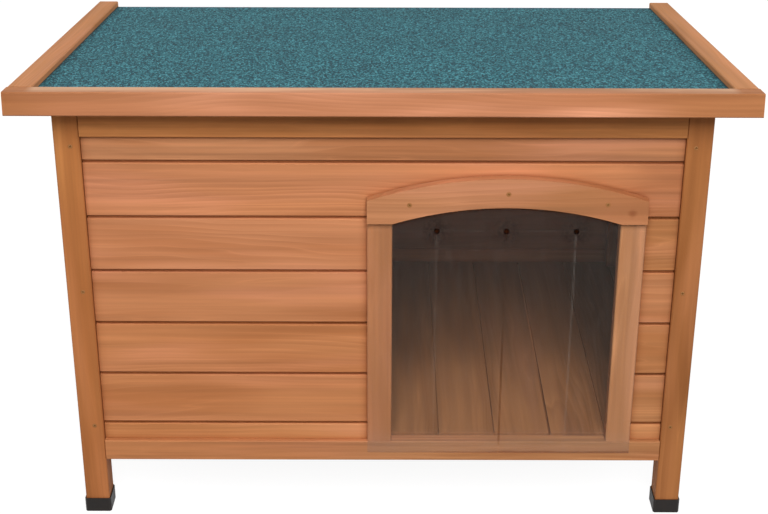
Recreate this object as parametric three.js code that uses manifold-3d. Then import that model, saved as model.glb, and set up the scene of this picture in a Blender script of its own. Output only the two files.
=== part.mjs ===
// Flat-roofed wooden dog house with a lift-up felted roof and a clear strip curtain in its doorway.
// Millimetres, +Z up. The front faces -Y and the origin is on the ground, under the middle of the roof.

import * as THREE from 'three';
import { mergeVertices } from 'three/addons/utils/BufferGeometryUtils.js';
import Module from 'manifold-3d';

const wasm = await Module();
wasm.setup();

// Fits
const gap = 0.3; // between pieces that touch
const runningGap = 0.35; // round a pin that turns or slides
const floorClearance = 1; // round the lift-out floor

// Roof: it falls to the rear, and its battens stand up round the felt on three sides
const roofWidth = 850;
const roofLength = 600; // down the slope
const roofPitch = THREE.MathUtils.degToRad(6);
const roofFrontHeight = 580; // top front edge above the ground
const battenWidth = 28;
const battenHeight = 27.5;
const battenUpstand = 6.5; // above the felt
const feltThickness = 2.7;
const feltSetback = 9; // from the rear ends of the battens
const deckThickness = 15;
const frontOverhang = 35;
const rearOverhang = 25;
const sideOverhang = 45;

// Posts, feet, rails and cladding
const postSize = 30;
const edgeChamfer = 1.2;
const capHeight = 19;
const capWall = 1.2;
const capBase = 2.5;
const capCorner = 2;
const railThickness = 16;
const bottomRailFoot = 77; // underside of the bottom rails above the ground
const bottomRailHeight = 28;
const topRailHeight = 38;
const boardRecess = 6; // cladding behind the faces of the posts
const boardThickness = 10;
const boardPitch = 70.5;
const lowestBoardHeight = 25;
const faceGroove = 3;
const boardChamfer = 1.4;
const tongueInset = 4; // behind the board's face
const tongueThickness = 3;
const tongueHeight = 3.5;
const tongueSlotDepth = 4;
const backGroove = 1;

// Doorway: it goes down to the bottom rail, whose top is the sill
const doorToPost = 39; // from the right jamb to the right front post
const doorWidth = 270;
const jambWidth = 30;
const archDrop = 105.9; // from the top rail to the underside of the arch over the jambs
const archEndHeight = 29.5;
const archTopRise = 28;
const archUndersideRise = 21;
const archProud = 6; // in front of the posts
const archCover = 4; // how far the arch hides the edge of the cladding
const archSegments = 20;

// Clear curtain
const sheetThickness = 1.5;
const sheetRise = 27.5; // up behind the arch
const sheetLap = 15; // down past the sill
const slitDrop = 10.9; // from the underside of the arch over the jambs to where the slits start
const stripCount = 4;
const slitWidth = 0.6;
const slitHoleRadius = 2.5;

// Floor
const floorRise = 3; // above the sill
const floorThickness = 12;
const floorPlankWidth = 70.5;
const floorGroove = 1.4;
const floorWideGroove = 3;
const floorWideGrooveIndex = 3; // counted from the groove next to the middle
const floorGrooveOffset = 0.6;
const floorGrooveDepth = 4;
const ledgerWidth = 20;
const joistWidth = 30;

// Butt hinges of the roof
const hingeToPost = 70;
const hingeLength = 60;
const leafWidth = 19;
const leafThickness = 1.2;
const knuckleRadius = 2.75;
const hingePinRadius = 1.3;
const roundSegments = 20;

// Slotted lid stays. The wall pin and the roof pivot lie at one distance from the hinge axis,
// so the arm turns by half the angle of the roof. It hangs plumb when the roof is shut.
const roofOpening = THREE.MathUtils.degToRad(65);
const stayRadius = 200;
const stayPivotDrop = 17; // below the deck
const stayWidth = 13;
const stayThickness = 2;
const stayTip = 9; // metal past the end of the slot
const stayInset = 5; // arm to the inner face of the side wall
const stayPinRadius = 2;
const stayHeadRadius = 3.8;
const stayHeadThickness = 1.5;
const stayEndPlay = 0.5;
const pinPlateRadius = 6;
const bracketThickness = 1.5;
const bracketLength = 30;
const bracketWidth = 17;

// Levels and planes that follow from the sizes above
const battenReach = (battenHeight - edgeChamfer) * Math.sin(roofPitch); // its foot leans out to the front
const roofFrontY = (battenReach - roofLength * Math.cos(roofPitch)) / 2;
const frontFace = roofFrontY + frontOverhang;
const rearFace = roofFrontY + roofLength * Math.cos(roofPitch) - rearOverhang;
const sideFace = roofWidth / 2 - sideOverhang;
const feltTop = -battenUpstand;
const deckTop = feltTop - feltThickness - gap;
const deckUnderside = deckTop - deckThickness;
const bottomRailTop = bottomRailFoot + bottomRailHeight;
const firstCourse = bottomRailTop + lowestBoardHeight;
const innerSide = sideFace - railThickness;
const innerFront = frontFace + railThickness;
const innerRear = rearFace - railThickness;
const railEndX = sideFace - postSize - gap;
const railFrontY = frontFace + postSize + gap;
const railRearY = rearFace - postSize - gap;
const floorTop = bottomRailTop + floorRise;

// Height of the tops of the walls, just under the sloping deck
function wallTop(y) {
  const roofTop = roofFrontHeight - (y - roofFrontY) * Math.tan(roofPitch);
  return roofTop + (deckUnderside - gap) / Math.cos(roofPitch);
}

function topRailFoot(y) {
  return wallTop(y) - topRailHeight;
}

const doorCentre = sideFace - postSize - doorToPost - jambWidth - doorWidth / 2;
const archSpring = topRailFoot(frontFace) - archDrop; // underside of the arch over the jambs
const sheetTop = archSpring + sheetRise;
const sheetBottom = bottomRailTop - sheetLap;
const stripHingeHeight = archSpring - slitDrop;

const wood = new THREE.MeshStandardMaterial({ color: '#bd7f50', roughness: 0.62, metalness: 0 });
const postWood = new THREE.MeshStandardMaterial({ color: '#b1703e', roughness: 0.62, metalness: 0 });
const felt = new THREE.MeshStandardMaterial({ color: '#436e76', roughness: 0.95, metalness: 0 });
const footPlastic = new THREE.MeshStandardMaterial({ color: '#2d2724', roughness: 0.55, metalness: 0 });
const zinc = new THREE.MeshStandardMaterial({ color: '#b9bcbe', roughness: 0.35, metalness: 1 });
const clearSheet = new THREE.MeshStandardMaterial({
  color: '#dfe6e6', roughness: 0.12, metalness: 0, transparent: true, opacity: 0.3,
});

const house = new THREE.Group();
const roof = new THREE.Group();
roof.position.set(0, roofFrontY, roofFrontHeight);
roof.rotation.x = -roofPitch;
house.add(roof);

// ---- Shapes and solids ----

function polygon(points) {
  return new THREE.Shape(points.map(([u, v]) => new THREE.Vector2(u, v)));
}

function rectangle(u0, v0, u1, v1) {
  return polygon([[u0, v0], [u1, v0], [u1, v1], [u0, v1]]);
}

function chamferedRectangle(u0, v0, u1, v1, c = edgeChamfer) {
  return polygon([
    [u0 + c, v0], [u1 - c, v0], [u1, v0 + c], [u1, v1 - c],
    [u1 - c, v1], [u0 + c, v1], [u0, v1 - c], [u0, v0 + c],
  ]);
}

// Extrudes a shape along one axis. Its plane is (y, z) for x, (x, z) for y and (x, y) for z.
function prism(axis, shape, from, to, curveSegments = 4) {
  const geometry = new THREE.ExtrudeGeometry(shape, { depth: to - from, bevelEnabled: false, curveSegments });
  if (axis === 'x') {
    const toX = new THREE.Matrix4().makeBasis(
      new THREE.Vector3(0, 1, 0), new THREE.Vector3(0, 0, 1), new THREE.Vector3(1, 0, 0));
    return geometry.applyMatrix4(toX).translate(from, 0, 0);
  }
  if (axis === 'y') {
    return geometry.rotateX(Math.PI / 2).translate(0, to, 0);
  }
  return geometry.translate(0, 0, from);
}

// A round piece turned from (radius, distance) points, lying along x
function turned(profile, direction = 1) {
  const points = profile.map(([radius, distance]) => new THREE.Vector2(radius, distance));
  return new THREE.LatheGeometry(points, roundSegments).rotateZ(-direction * Math.PI / 2);
}

function cylinderX(radius, x0, x1, y, z) {
  const geometry = new THREE.CylinderGeometry(radius, radius, x1 - x0, roundSegments);
  return geometry.rotateZ(Math.PI / 2).translate((x0 + x1) / 2, y, z);
}

function solid(geometry) {
  const bare = geometry.clone();
  bare.deleteAttribute('normal');
  bare.deleteAttribute('uv');
  const merged = mergeVertices(bare, 1e-5);
  return new wasm.Manifold(new wasm.Mesh({
    numProp: 3,
    vertProperties: new Float32Array(merged.attributes.position.array),
    triVerts: new Uint32Array(merged.index.array),
  }));
}

function surface(body) {
  const mesh = body.getMesh();
  const geometry = new THREE.BufferGeometry();
  geometry.setAttribute('position', new THREE.BufferAttribute(new Float32Array(mesh.vertProperties), 3));
  geometry.setIndex(new THREE.BufferAttribute(new Uint32Array(mesh.triVerts), 1));
  geometry.computeVertexNormals();
  return geometry;
}

function cut(geometry, ...cutters) {
  return surface(cutters.reduce((body, cutter) => body.subtract(solid(cutter)), solid(geometry)));
}

function join(first, ...others) {
  return surface(others.reduce((body, other) => body.add(solid(other)), solid(first)));
}

function add(name, geometry, material, parent = house) {
  const mesh = new THREE.Mesh(geometry, material);
  mesh.name = name;
  parent.add(mesh);
  return mesh;
}

// Everything above the sloping tops of the walls, or that much lower
function aboveWalls(drop = 0) {
  const reach = roofLength;
  const block = new THREE.BoxGeometry(2 * roofWidth, 3 * reach, reach);
  block.translate(0, reach / 2, reach / 2 + deckUnderside - gap - drop);
  return block.rotateX(-roofPitch).translate(0, roofFrontY, roofFrontHeight);
}

const sides = [['left', -1], ['right', 1]];
const ends = [['front', frontFace, 1], ['rear', rearFace, -1]];

function spanX(side, inner, outer) {
  return side > 0 ? [inner, outer] : [-outer, -inner];
}

// ---- Posts and their push-on feet ----

function addPosts() {
  for (const [endName, face, inward] of ends) {
    for (const [sideName, side] of sides) {
      const [x0, x1] = spanX(side, sideFace - postSize, sideFace);
      const y0 = Math.min(face, face + inward * postSize);
      const section = chamferedRectangle(x0, y0, x1, y0 + postSize);
      const post = prism('z', section, capBase + gap, roofFrontHeight);
      add(`${endName}_${sideName}_post`, cut(post, aboveWalls()), postWood);
      addFoot(`${endName}_${sideName}_foot`, (x0 + x1) / 2, y0 + postSize / 2);
    }
  }
}

function addFoot(name, x, y) {
  const inner = postSize / 2 + gap;
  const outer = inner + capWall;
  const outline = chamferedRectangle(x - outer, y - outer, x + outer, y + outer, capCorner);
  const pocket = rectangle(x - inner, y - inner, x + inner, y + inner);
  const cap = cut(prism('z', outline, 0, capHeight), prism('z', pocket, capBase, 2 * capHeight));
  add(name, cap, footPlastic);
}

// ---- Rails ----

function addRails() {
  for (const [endName, face, inward] of ends) {
    const y0 = Math.min(face, face + inward * railThickness);
    const y1 = y0 + railThickness;
    const bottomSection = chamferedRectangle(y0, bottomRailFoot, y1, bottomRailTop);
    const topSection = chamferedRectangle(y0, topRailFoot(face), y1, roofFrontHeight);
    add(`${endName}_bottom_rail`, prism('x', bottomSection, -railEndX, railEndX), wood);
    add(`${endName}_top_rail`, cut(prism('x', topSection, -railEndX, railEndX), aboveWalls()), wood);
  }
  for (const [sideName, side] of sides) {
    const [x0, x1] = spanX(side, innerSide, sideFace);
    const bottomSection = chamferedRectangle(x0, bottomRailFoot, x1, bottomRailTop);
    const slopingOutline = polygon([
      [railFrontY, topRailFoot(railFrontY)],
      [railRearY, topRailFoot(railRearY)],
      [railRearY, wallTop(railRearY)],
      [railFrontY, wallTop(railFrontY)],
    ]);
    add(`${sideName}_bottom_rail`, prism('y', bottomSection, railFrontY, railRearY), wood);
    add(`${sideName}_top_rail`, prism('x', slopingOutline, x0, x1), wood);
  }
}

// ---- Cladding ----

// Section of one tongued and grooved board, as (depth from the face, height)
function boardSection(bottom, top, hasSlot, hasTongue) {
  const c = boardChamfer;
  const tongueBack = tongueInset + tongueThickness;
  const points = hasSlot ? [[0, bottom + c], [c, bottom]] : [[0, bottom]];
  if (hasSlot) {
    points.push([tongueInset - gap, bottom], [tongueInset - gap, bottom + tongueSlotDepth]);
    points.push([tongueBack + gap, bottom + tongueSlotDepth], [tongueBack + gap, bottom]);
  }
  points.push([boardThickness, bottom]);
  if (hasTongue) {
    points.push([boardThickness, top - gap], [tongueBack, top - gap]);
    points.push([tongueBack, top + tongueHeight], [tongueInset, top + tongueHeight]);
    points.push([tongueInset, top - faceGroove], [c, top - faceGroove], [0, top - faceGroove - c]);
  } else {
    points.push([boardThickness, top], [c, top], [0, top - c]);
  }
  return points;
}

// Heights at which one board ends and the next one starts
function courses(limit) {
  const heights = [];
  for (let height = firstCourse; height < limit - boardPitch / 4; height += boardPitch) {
    heights.push(height);
  }
  return heights;
}

// Section of a wall panel whose boards are already pressed together
function panelSection(bottom, top) {
  const c = boardChamfer;
  const lines = courses(top);
  const face = [[0, bottom]];
  const back = [[boardThickness, bottom]];
  for (const line of lines) {
    face.push([0, line - faceGroove - c], [c, line - faceGroove], [tongueInset, line - faceGroove]);
    face.push([tongueInset, line], [c, line], [0, line + c]);
    back.push([boardThickness, line - backGroove], [boardThickness - backGroove, line]);
    back.push([boardThickness, line + backGroove]);
  }
  face.push([0, top]);
  back.push([boardThickness, top]);
  return [...face, ...back.reverse()];
}

function archUnderside(distance, lift) {
  const half = doorWidth / 2;
  const radius = (half * half + archUndersideRise * archUndersideRise) / (2 * archUndersideRise);
  const sag = radius - Math.sqrt(radius * radius - distance * distance);
  return archSpring + archUndersideRise + lift - sag;
}

// The doorway through the cladding. Its curved top is hidden behind the arch.
function doorwayCutter() {
  const half = doorWidth / 2;
  const points = [[doorCentre - half, bottomRailTop], [doorCentre + half, bottomRailTop]];
  for (let step = 0; step <= archSegments; step += 1) {
    const distance = half - (step / archSegments) * doorWidth;
    points.push([doorCentre + distance, archUnderside(distance, archCover)]);
  }
  return prism('y', polygon(points), frontFace, innerFront + boardThickness);
}

function addFrontCladding() {
  const top = topRailFoot(frontFace) - gap;
  const edges = [bottomRailTop + gap, ...courses(top), top];
  const last = edges.length - 2;
  let beside = 0;
  let above = 0;
  for (let index = 0; index <= last; index += 1) {
    const bottom = edges[index];
    const crown = edges[index + 1];
    const section = boardSection(bottom, crown, index > 0, index < last);
    const shape = polygon(section.map(([depth, height]) => [frontFace + boardRecess + depth, height]));
    if (archUnderside(0, archCover) > crown + tongueHeight) {
      beside += 1;
      const left = prism('x', shape, -railEndX, doorCentre);
      const right = prism('x', shape, doorCentre, railEndX);
      add(`front_left_board_${beside}`, cut(left, doorwayCutter()), wood);
      add(`front_right_board_${beside}`, cut(right, doorwayCutter()), wood);
    } else {
      above += 1;
      const board = prism('x', shape, -railEndX, railEndX);
      add(`front_upper_board_${above}`, cut(board, doorwayCutter()), wood);
    }
  }
}

function addRearAndSideCladding() {
  const bottom = bottomRailTop + gap;
  const rearSection = panelSection(bottom, topRailFoot(rearFace) - gap);
  const rearShape = polygon(rearSection.map(([depth, height]) => [rearFace - boardRecess - depth, height]));
  add('rear_cladding', prism('x', rearShape, -railEndX, railEndX), wood);
  for (const [sideName, side] of sides) {
    const section = panelSection(bottom, topRailFoot(frontFace));
    const sideShape = section.map(([depth, height]) => [side * (sideFace - boardRecess - depth), height]);
    const panel = prism('y', polygon(sideShape), railFrontY, railRearY);
    const drop = topRailHeight * Math.cos(roofPitch) + gap;
    add(`${sideName}_cladding`, cut(panel, aboveWalls(drop)), wood);
  }
}

// ---- Doorway trim ----

function addDoorTrim() {
  const half = doorWidth / 2;
  const trimBack = frontFace + boardRecess - gap;
  for (const [sideName, side] of sides) {
    const inner = doorCentre + side * half;
    const x0 = Math.min(inner, inner + side * jambWidth);
    const section = chamferedRectangle(x0, frontFace, x0 + jambWidth, trimBack);
    add(`door_${sideName}_jamb`, prism('z', section, bottomRailTop + gap, sheetTop - gap), wood);
  }
  const end = half + jambWidth;
  const topRadius = (end * end + archTopRise * archTopRise) / (2 * archTopRise);
  const outline = [[doorCentre - end, archSpring]];
  for (let step = 0; step <= archSegments; step += 1) {
    const distance = -half + (step / archSegments) * doorWidth;
    outline.push([doorCentre + distance, archUnderside(distance, 0)]);
  }
  outline.push([doorCentre + end, archSpring]);
  for (let step = 0; step <= archSegments; step += 1) {
    const distance = end - (step / archSegments) * 2 * end;
    const sag = topRadius - Math.sqrt(topRadius * topRadius - distance * distance);
    outline.push([doorCentre + distance, archSpring + archEndHeight + archTopRise - sag]);
  }
  const arch = prism('y', polygon(outline), frontFace - archProud, trimBack);
  const rebateFront = frontFace - sheetThickness - 2 * gap;
  const rebate = prism('y', rectangle(-sideFace, 0, sideFace, sheetTop + gap), rebateFront, innerFront);
  add('door_arch', cut(arch, rebate), wood);
}

// ---- Clear strip curtain: a header under the arch and four swinging strips ----

function addCurtain() {
  const end = doorWidth / 2 + jambWidth;
  const pitch = (2 * end) / stripCount;
  const back = frontFace - gap;
  const front = back - sheetThickness;
  const headerFoot = stripHingeHeight + sheetThickness / 2 + gap;
  const stripTop = stripHingeHeight - gap / 3;
  const holes = new THREE.Path().absarc(0, 0, slitHoleRadius, 0, 2 * Math.PI);
  const hole = new THREE.Shape(holes.getPoints(roundSegments / 2));
  const punches = [];
  for (let slit = 1; slit < stripCount; slit += 1) {
    const x = doorCentre - end + slit * pitch;
    punches.push(prism('y', hole, front - gap, back + gap).translate(x, 0, stripHingeHeight));
  }
  const headerShape = rectangle(doorCentre - end, headerFoot, doorCentre + end, sheetTop - gap);
  add('curtain_header', cut(prism('y', headerShape, front, back), ...punches), clearSheet);
  for (let strip = 0; strip < stripCount; strip += 1) {
    const x0 = doorCentre - end + strip * pitch + (strip > 0 ? slitWidth / 2 : 0);
    const x1 = doorCentre - end + (strip + 1) * pitch - (strip < stripCount - 1 ? slitWidth / 2 : 0);
    const sheet = prism('y', rectangle(x0, sheetBottom, x1, stripTop), front, back);
    add(`curtain_strip_${strip + 1}`, cut(sheet, ...punches), clearSheet);
  }
}

// ---- Floor ----

function addFloor() {
  const halfWidth = innerSide - floorClearance;
  const y0 = innerFront + floorClearance;
  const y1 = innerRear - floorClearance;
  const floorFoot = floorTop - floorThickness;
  const grooves = [];
  const count = Math.floor(halfWidth / floorPlankWidth);
  for (let index = -count; index <= count; index += 1) {
    const x = floorGrooveOffset + index * floorPlankWidth;
    const width = index === floorWideGrooveIndex ? floorWideGroove : floorGroove;
    if (Math.abs(x) + width < halfWidth) {
      const section = rectangle(x - width / 2, floorTop - floorGrooveDepth, x + width / 2, 2 * floorTop);
      grooves.push(prism('y', section, frontFace, rearFace));
    }
  }
  const notch = sideFace - postSize - floorClearance;
  for (const [, side] of sides) {
    const [x0, x1] = spanX(side, notch, sideFace);
    const frontCorner = rectangle(x0, frontFace, x1, frontFace + postSize + floorClearance);
    const rearCorner = rectangle(x0, rearFace - postSize - floorClearance, x1, rearFace);
    grooves.push(prism('z', frontCorner, 0, 2 * floorTop), prism('z', rearCorner, 0, 2 * floorTop));
  }
  const panel = prism('y', rectangle(-halfWidth, floorFoot, halfWidth, floorTop), y0, y1);
  add('floor_panel', cut(panel, ...grooves), wood);

  const ledgerTop = floorFoot - gap;
  const frontLedger = chamferedRectangle(
    innerFront + gap, bottomRailFoot, innerFront + gap + ledgerWidth, ledgerTop);
  const rearLedger = chamferedRectangle(
    innerRear - gap - ledgerWidth, bottomRailFoot, innerRear - gap, ledgerTop);
  const joistY = (innerFront + innerRear - joistWidth) / 2;
  const joist = chamferedRectangle(joistY, bottomRailFoot, joistY + joistWidth, ledgerTop);
  add('floor_front_ledger', prism('x', frontLedger, -railEndX, railEndX), wood);
  add('floor_rear_ledger', prism('x', rearLedger, -railEndX, railEndX), wood);
  add('floor_middle_joist', prism('x', joist, gap - innerSide, innerSide - gap), wood);
}

// ---- Roof, in its own sloping frame: y runs down the slope, z is square to the felt ----

function addRoof() {
  const half = roofWidth / 2;
  const inner = half - battenWidth;
  const behindFront = battenWidth + gap;
  const frontSection = chamferedRectangle(0, -battenHeight, battenWidth, 0);
  add('roof_front_batten', prism('x', frontSection, -half, half), wood, roof);
  for (const [sideName, side] of sides) {
    const [x0, x1] = spanX(side, inner, half);
    const section = chamferedRectangle(x0, -battenHeight, x1, 0);
    add(`roof_${sideName}_batten`, prism('y', section, behindFront, roofLength), wood, roof);
  }
  const edge = inner - gap;
  const deckSection = rectangle(-edge, deckUnderside, edge, deckTop);
  const feltSection = rectangle(-edge, feltTop - feltThickness, edge, feltTop);
  add('roof_deck', prism('y', deckSection, behindFront, roofLength), wood, roof);
  add('roof_felt', prism('y', feltSection, behindFront, roofLength - feltSetback), felt, roof);
}

// ---- Hinges ----

// The hinge axis runs along x, in the corner between the rear wall and the deck
const axisZinRoof = deckUnderside - gap - knuckleRadius;
const axisY = rearFace + gap + knuckleRadius;
const axisYinRoof = (axisY - roofFrontY - axisZinRoof * Math.sin(roofPitch)) / Math.cos(roofPitch);
const axisZ = roofFrontHeight - axisYinRoof * Math.sin(roofPitch) + axisZinRoof * Math.cos(roofPitch);

function addHinges() {
  const third = hingeLength / 3;
  const neck = knuckleRadius + runningGap;
  const bore = hingePinRadius + runningGap;
  for (const [sideName, side] of sides) {
    const outer = sideFace - postSize - hingeToPost;
    const [x0, x1] = spanX(side, outer - hingeLength, outer);
    const leafBack = axisY - knuckleRadius;
    const leafFront = leafBack + leafThickness;
    const wallParts = [prism('x', rectangle(leafBack, axisZ - leafWidth, leafFront, axisZ - neck), x0, x1)];
    for (const start of [x0, x1 - third + runningGap]) {
      const stop = start + third - runningGap;
      wallParts.push(prism('x', rectangle(leafBack, axisZ - neck, leafFront, axisZ), start, stop));
      wallParts.push(cylinderX(knuckleRadius, start, stop, axisY, axisZ));
    }
    const wallBore = cylinderX(bore, x0 - gap, x1 + gap, axisY, axisZ);
    add(`${sideName}_hinge_wall_leaf`, cut(join(...wallParts), wallBore), zinc);

    const leafTop = axisZinRoof + knuckleRadius;
    const leafFoot = leafTop - leafThickness;
    const plate = rectangle(axisYinRoof + neck, leafFoot, axisYinRoof + leafWidth, leafTop);
    const neckSection = rectangle(axisYinRoof, leafFoot, axisYinRoof + neck, leafTop);
    const middle = [x0 + third, x1 - third];
    const roofLeaf = join(
      prism('x', plate, x0, x1),
      prism('x', neckSection, ...middle),
      cylinderX(knuckleRadius, ...middle, axisYinRoof, axisZinRoof),
    );
    const roofBore = cylinderX(bore, x0, x1, axisYinRoof, axisZinRoof);
    add(`${sideName}_hinge_roof_leaf`, cut(roofLeaf, roofBore), zinc, roof);
    add(`${sideName}_hinge_pin`, cylinderX(hingePinRadius, x0, x1, axisY, axisZ), zinc);
  }
}

// ---- Lid stays ----

function addStays() {
  const pivotZinRoof = deckUnderside - stayPivotDrop;
  const pivotRise = pivotZinRoof - axisZinRoof;
  const pivotYinRoof = axisYinRoof - Math.sqrt(stayRadius * stayRadius - pivotRise * pivotRise);
  const pivotAngle = roofPitch + Math.asin(pivotRise / stayRadius);
  const stayY = axisY - stayRadius * Math.cos(pivotAngle);
  const pivotZ = axisZ + stayRadius * Math.sin(pivotAngle);
  const pinZ = axisZ - stayRadius * Math.sin(pivotAngle);
  const closedReach = pivotZ - pinZ - stayEndPlay;
  const openReach = 2 * stayRadius * Math.sin(pivotAngle + roofOpening / 2) + stayEndPlay;

  const slotHalf = stayPinRadius + runningGap;
  const end = stayWidth / 2;
  const tip = openReach + slotHalf + stayTip - end;
  const outline = new THREE.Shape();
  outline.absarc(0, 0, end, 0, Math.PI);
  outline.absarc(0, -tip, end, Math.PI, 2 * Math.PI);
  const slot = new THREE.Path();
  slot.absarc(0, -closedReach, slotHalf, 0, Math.PI);
  slot.absarc(0, -openReach, slotHalf, Math.PI, 2 * Math.PI);
  outline.holes.push(slot, new THREE.Path().absarc(0, 0, slotHalf, 0, 2 * Math.PI));

  const armOuter = innerSide - stayInset;
  const armInner = armOuter - stayThickness;
  const headOuter = armInner - gap;
  const headInner = headOuter - stayHeadThickness;
  const tabInner = armOuter + gap;
  const tabOuter = tabInner + bracketThickness;
  for (const [sideName, side] of sides) {
    const arm = prism('x', outline, ...spanX(side, armInner, armOuter), roundSegments / 2);
    add(`${sideName}_stay_arm`, arm, zinc).position.set(0, stayY, pivotZ);

    const wallSide = innerSide - gap;
    const pinProfile = [
      [0, headInner], [stayHeadRadius, headInner], [stayHeadRadius, headOuter], [stayPinRadius, headOuter],
      [stayPinRadius, wallSide - bracketThickness], [pinPlateRadius, wallSide - bracketThickness],
      [pinPlateRadius, wallSide], [0, wallSide],
    ];
    add(`${sideName}_stay_wall_pin`, turned(pinProfile, side), zinc).position.set(0, stayY, pinZ);

    const plateTop = deckUnderside - gap;
    const plateFoot = plateTop - bracketThickness;
    const [plateX0, plateX1] = spanX(side, tabOuter - bracketWidth, tabOuter);
    const plateY = pivotYinRoof - bracketLength / 2;
    const plate = rectangle(plateY, plateFoot, plateY + bracketLength, plateTop);
    const tab = new THREE.Shape();
    tab.moveTo(pivotYinRoof + end, plateTop);
    tab.lineTo(pivotYinRoof - end, plateTop);
    tab.lineTo(pivotYinRoof - end, pivotZinRoof);
    tab.absarc(pivotYinRoof, pivotZinRoof, end, Math.PI, 2 * Math.PI);
    const rivetProfile = [
      [0, headInner], [stayHeadRadius, headInner], [stayHeadRadius, headOuter], [stayPinRadius, headOuter],
      [stayPinRadius, tabInner + bracketThickness / 2], [0, tabInner + bracketThickness / 2],
    ];
    const bracket = join(
      prism('x', plate, plateX0, plateX1),
      prism('x', tab, ...spanX(side, tabInner, tabOuter), roundSegments / 2),
      turned(rivetProfile, side).translate(0, pivotYinRoof, pivotZinRoof),
    );
    add(`${sideName}_stay_bracket`, bracket, zinc, roof);
  }
}

addPosts();
addRails();
addFrontCladding();
addRearAndSideCladding();
addDoorTrim();
addCurtain();
addFloor();
addRoof();
addHinges();
addStays();

export default house;
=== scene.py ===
import math

import bmesh
import bpy
from mathutils import Matrix, Vector


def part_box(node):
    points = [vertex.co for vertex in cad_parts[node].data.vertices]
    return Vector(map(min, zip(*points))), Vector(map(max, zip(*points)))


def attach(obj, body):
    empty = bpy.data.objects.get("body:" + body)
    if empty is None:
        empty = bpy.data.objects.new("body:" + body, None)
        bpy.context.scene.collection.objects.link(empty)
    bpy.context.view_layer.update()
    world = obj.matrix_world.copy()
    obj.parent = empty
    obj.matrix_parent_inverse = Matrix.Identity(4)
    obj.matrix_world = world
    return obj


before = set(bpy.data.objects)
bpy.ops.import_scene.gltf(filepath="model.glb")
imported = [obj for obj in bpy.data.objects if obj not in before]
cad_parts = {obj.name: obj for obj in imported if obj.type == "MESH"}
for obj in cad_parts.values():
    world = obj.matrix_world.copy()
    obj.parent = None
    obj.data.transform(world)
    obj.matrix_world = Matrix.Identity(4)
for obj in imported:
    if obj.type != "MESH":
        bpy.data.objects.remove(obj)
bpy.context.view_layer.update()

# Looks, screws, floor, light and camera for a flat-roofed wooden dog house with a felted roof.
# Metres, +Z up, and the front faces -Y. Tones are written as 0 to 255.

MM = 0.001
WHITE = (1.0, 1.0, 1.0, 1.0)

# ---------------------------------------------------------------- camera, first

CAMERA_PLACE = (0.0012, -1.8646, 1.1220)
CAMERA_PITCH = 23.75
CAMERA_ROLL = 0.15
CAMERA_LENS = 69.78
CAMERA_SENSOR = 36
CAMERA_SHIFT_Y = -0.0547

camera_data = bpy.data.cameras.new("photo_camera")
camera = bpy.data.objects.new("photo_camera", camera_data)
bpy.context.scene.collection.objects.link(camera)
bpy.context.scene.camera = camera
camera_data.sensor_width = CAMERA_SENSOR
camera_data.lens = CAMERA_LENS
camera_data.shift_y = CAMERA_SHIFT_Y
camera.matrix_world = (
    Matrix.Translation(CAMERA_PLACE)
    @ Matrix.Rotation(math.radians(90 - CAMERA_PITCH), 4, "X")
    @ Matrix.Rotation(math.radians(CAMERA_ROLL), 4, "Z")
)


# ---------------------------------------------------------------- shader graphs

def rgb(red, green, blue):
    """A tone given as 0 to 255, as the linear RGBA that shaders take."""
    def linear(value):
        share = value / 255
        return share / 12.92 if share <= 0.04045 else ((share + 0.055) / 1.055) ** 2.4
    return (linear(red), linear(green), linear(blue), 1.0)


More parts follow.
